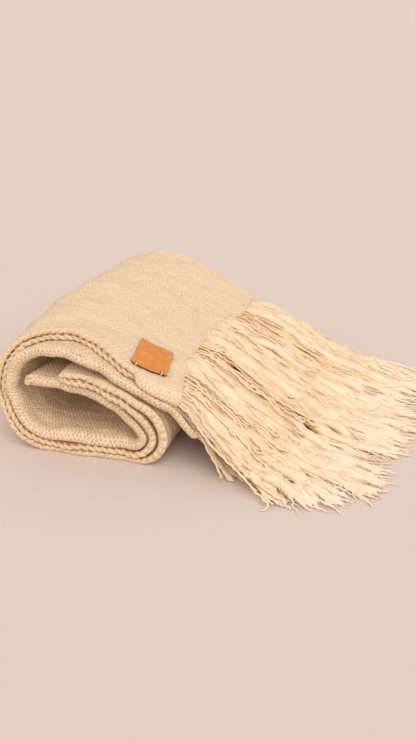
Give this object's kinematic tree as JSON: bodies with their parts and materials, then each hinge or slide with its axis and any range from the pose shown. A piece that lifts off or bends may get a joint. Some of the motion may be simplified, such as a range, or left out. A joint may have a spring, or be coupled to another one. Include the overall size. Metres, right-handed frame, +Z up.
{
  "type": "woven wool throw, folded and rolled once, with long fringes and a leather label",
  "caption": "Chunky cream wool throw, folded in half twice and loosely rolled, its fringed ends draped over the top and out on the surface, with a small tan leather label",
  "frame": {"origin": "on the surface the roll rests on, at the middle of the flat underside of the roll", "axes": "+Z up, the roll lies along Y with its open near end facing -Y, the fringes lie out towards +X"},
  "size_m": [0.509, 0.4658, 0.149],
  "materials": {
    "cream_wool": "thick fulled wool weave, soft and matt, with a fine pebbled texture",
    "wool_roving": "loose, fluffy wool roving and thin crinkled wool yarn, matt",
    "tan_leather": "vegetable tanned leather with a fine grain, dark cut edges, bare"
  },
  "bodies": {
    "root": {"throw": "cream_wool", "fringe_a": "wool_roving", "fringe_b": "wool_roving", "label": "tan_leather", "tie_1": "wool_roving", "tie_2": "wool_roving", "tie_3": "wool_roving", "tie_4": "wool_roving"}
  },
  "joints": []
}
